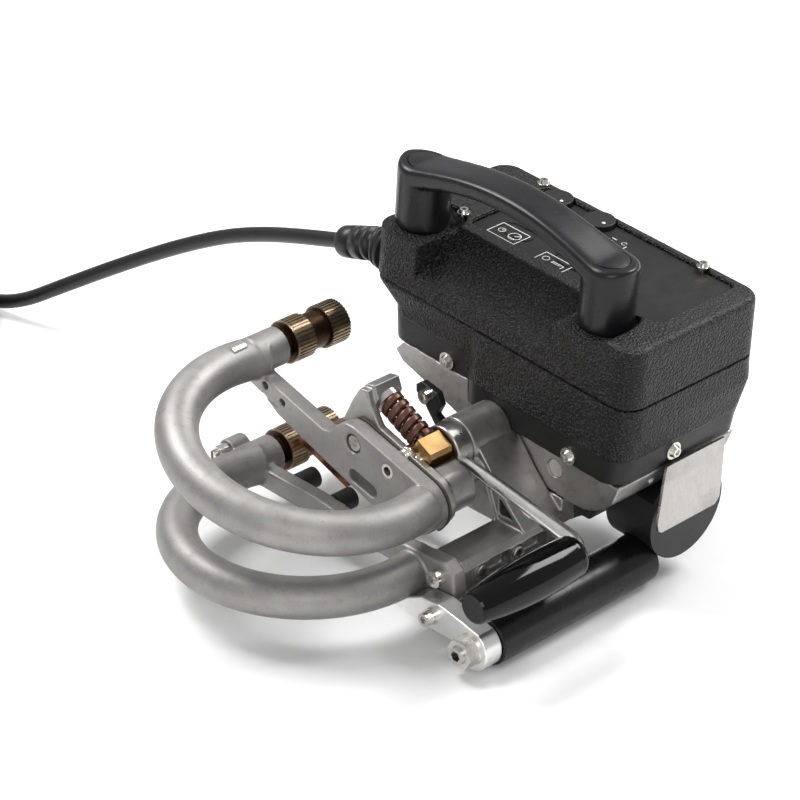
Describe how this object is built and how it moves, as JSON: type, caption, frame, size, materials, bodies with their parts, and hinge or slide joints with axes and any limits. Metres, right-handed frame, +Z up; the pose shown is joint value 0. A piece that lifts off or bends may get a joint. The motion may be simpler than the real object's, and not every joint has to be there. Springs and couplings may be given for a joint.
{
  "type": "hot wedge membrane welder",
  "caption": "Hand-guided overlap welder for plastic membranes: two open clamp arms with knurled rollers, pressure spring, lever, geared base and carry handle.",
  "frame": {"origin": "middle of the machine box without the cord, on the surface it stands on", "axes": "+Z up, +X along the housing towards the motor end, +Y across the machine towards the housing side, clamp arms on -Y"},
  "size_m": [0.6162, 0.3051, 0.2069],
  "materials": {
    "housing_plastic": "leather grain",
    "panel_plastic": "fine matte",
    "dial_plastic": "fine matte",
    "handle_plastic": "satin",
    "screw_steel": "turned",
    "board_laminate": "satin",
    "cast_alloy": "as cast and blasted",
    "gearbox_paint": "satin",
    "motor_paint": "satin",
    "motor_cover_plastic": "satin",
    "sheet_alloy": "brushed",
    "zinc_steel": "zinc plated",
    "blasted_alloy": "bead blasted",
    "bright_alloy": "milled",
    "axle_steel": "turned",
    "roller_cover": "satin",
    "bush_plastic": "satin",
    "spacer_plastic": "satin",
    "spring_steel": "brown oxide",
    "brass": "turned",
    "bronze": "aged",
    "chrome_rod": "polished",
    "grip_plastic": "polished",
    "black_steel": "black oxide",
    "copper_alloy": "tarnished copper",
    "guide_roller": "satin",
    "gland_rubber": "satin",
    "cord_rubber": "satin",
    "plug_plastic": "satin"
  },
  "bodies": {
    "chassis": {"lower_housing_shell": "housing_plastic", "upper_housing_cover": "housing_plastic", "control_panel": "panel_plastic", "carry_handle": "handle_plastic", "handle_caps": "handle_plastic", "handle_bolts": "screw_steel", "housing_screws": "screw_steel", "control_board": "board_laminate", "base_casting": "cast_alloy", "gearbox_housing": "gearbox_paint", "drive_motor": "motor_paint", "motor_end_cover": "motor_cover_plastic", "motor_sheet_cover": "sheet_alloy", "clamp_frame": "cast_alloy", "beam_sleeves": "screw_steel", "lower_arm": "blasted_alloy", "lower_arm_screws": "screw_steel", "lower_adjuster": "zinc_steel", "end_bracket": "bright_alloy", "roller_axle": "axle_steel", "axle_nut": "zinc_steel", "arm_pivot_pin": "axle_steel", "lower_roller_shaft": "axle_steel", "cable_bracket": "black_steel", "cable_bracket_screw": "screw_steel", "contour_pins": "axle_steel", "cable_gland": "gland_rubber", "power_cord": "cord_rubber", "cord_coil": "cord_rubber", "cord_plug": "plug_plastic"},
    "upper_arm_group": {"upper_arm": "blasted_alloy", "upper_arm_screws": "screw_steel", "threaded_insert": "zinc_steel", "upper_set_screw": "zinc_steel", "arm_spacer": "spacer_plastic", "rocker": "cast_alloy", "spring_seat_washer": "axle_steel", "pressure_spring": "spring_steel", "spring_rod": "axle_steel", "brass_block": "brass", "brass_block_screw": "screw_steel", "upper_roller_shaft": "axle_steel"},
    "clamp_lever_group": {"lever_hub": "axle_steel", "clamp_shaft": "axle_steel", "hub_bush": "brass", "lever_rod": "chrome_rod", "lever_grip": "grip_plastic"},
    "temperature_dial_body": {"temperature_dial": "dial_plastic"},
    "speed_dial_body": {"speed_dial": "dial_plastic"},
    "front_roller_body": {"front_roller": "roller_cover", "front_roller_bushes": "bush_plastic"},
    "upper_roller_body": {"upper_roller": "bronze"},
    "lower_roller_body": {"lower_roller": "bronze"},
    "drive_gear_body": {"drive_gear": "axle_steel"},
    "contour_a_body": {"contour_roller_a": "guide_roller"},
    "contour_b_body": {"contour_roller_b": "guide_roller"},
    "wedge_body": {"hot_wedge": "copper_alloy", "heater_block": "copper_alloy", "heater_screw": "screw_steel", "wedge_carrier": "black_steel"}
  },
  "joints": [
    {"name": "clamp_lever", "type": "hinge", "parent": "chassis", "child": "clamp_lever_group", "pos_m": [0.01713, 0.0008, 0.078], "axis": [0, -1, 0], "range_deg": [0, 115]},
    {"name": "upper_arm_close", "type": "hinge", "parent": "chassis", "child": "upper_arm_group", "pos_m": [0.02913, -0.0102, 0.064], "axis": [0, -1, 0], "range_deg": [0, 18.7]},
    {"name": "temperature_turn", "type": "hinge", "parent": "chassis", "child": "temperature_dial_body", "pos_m": [-0.02688, 0.1258, 0.16442], "axis": [0.0698, 0, 0.9976], "range_deg": [-135, 135]},
    {"name": "speed_turn", "type": "hinge", "parent": "chassis", "child": "speed_dial_body", "pos_m": [0.00464, 0.1258, 0.16222], "axis": [0.0698, 0, 0.9976], "range_deg": [-135, 135]},
    {"name": "front_roller_spin", "type": "hinge", "parent": "chassis", "child": "front_roller_body", "pos_m": [0.09313, 0.0118, 0.014], "axis": [0, 1, 0], "continuous": true},
    {"name": "upper_roller_spin", "type": "hinge", "parent": "upper_arm_group", "child": "upper_roller_body", "pos_m": [-0.09786, 0.0048, 0.10004], "axis": [0, 1, 0], "continuous": true},
    {"name": "lower_roller_spin", "type": "hinge", "parent": "chassis", "child": "lower_roller_body", "pos_m": [-0.10337, 0.0038, 0.03], "axis": [0, 1, 0], "continuous": true},
    {"name": "drive_gear_spin", "type": "hinge", "parent": "chassis", "child": "drive_gear_body", "pos_m": [0.05913, 0.0548, 0.067], "axis": [0, 1, 0], "continuous": true},
    {"name": "guide_roller_a_spin", "type": "hinge", "parent": "chassis", "child": "contour_a_body", "pos_m": [-0.07587, -0.0162, 0.024], "axis": [0, 1, 0], "continuous": true},
    {"name": "guide_roller_b_spin", "type": "hinge", "parent": "chassis", "child": "contour_b_body", "pos_m": [-0.04587, -0.0162, 0.024], "axis": [0, 1, 0], "continuous": true},
    {"name": "wedge_withdraw", "type": "slide", "parent": "chassis", "child": "wedge_body", "axis": [0.9659, 0, -0.2588], "range_m": [0, 0.02]}
  ],
  "couplings": [
    {"joint": "upper_arm_close", "follows": "clamp_lever", "ratio": 0.1626},
    {"joint": "upper_roller_spin", "follows": "lower_roller_spin", "ratio": -1},
    {"joint": "drive_gear_spin", "follows": "lower_roller_spin", "ratio": -1}
  ]
}
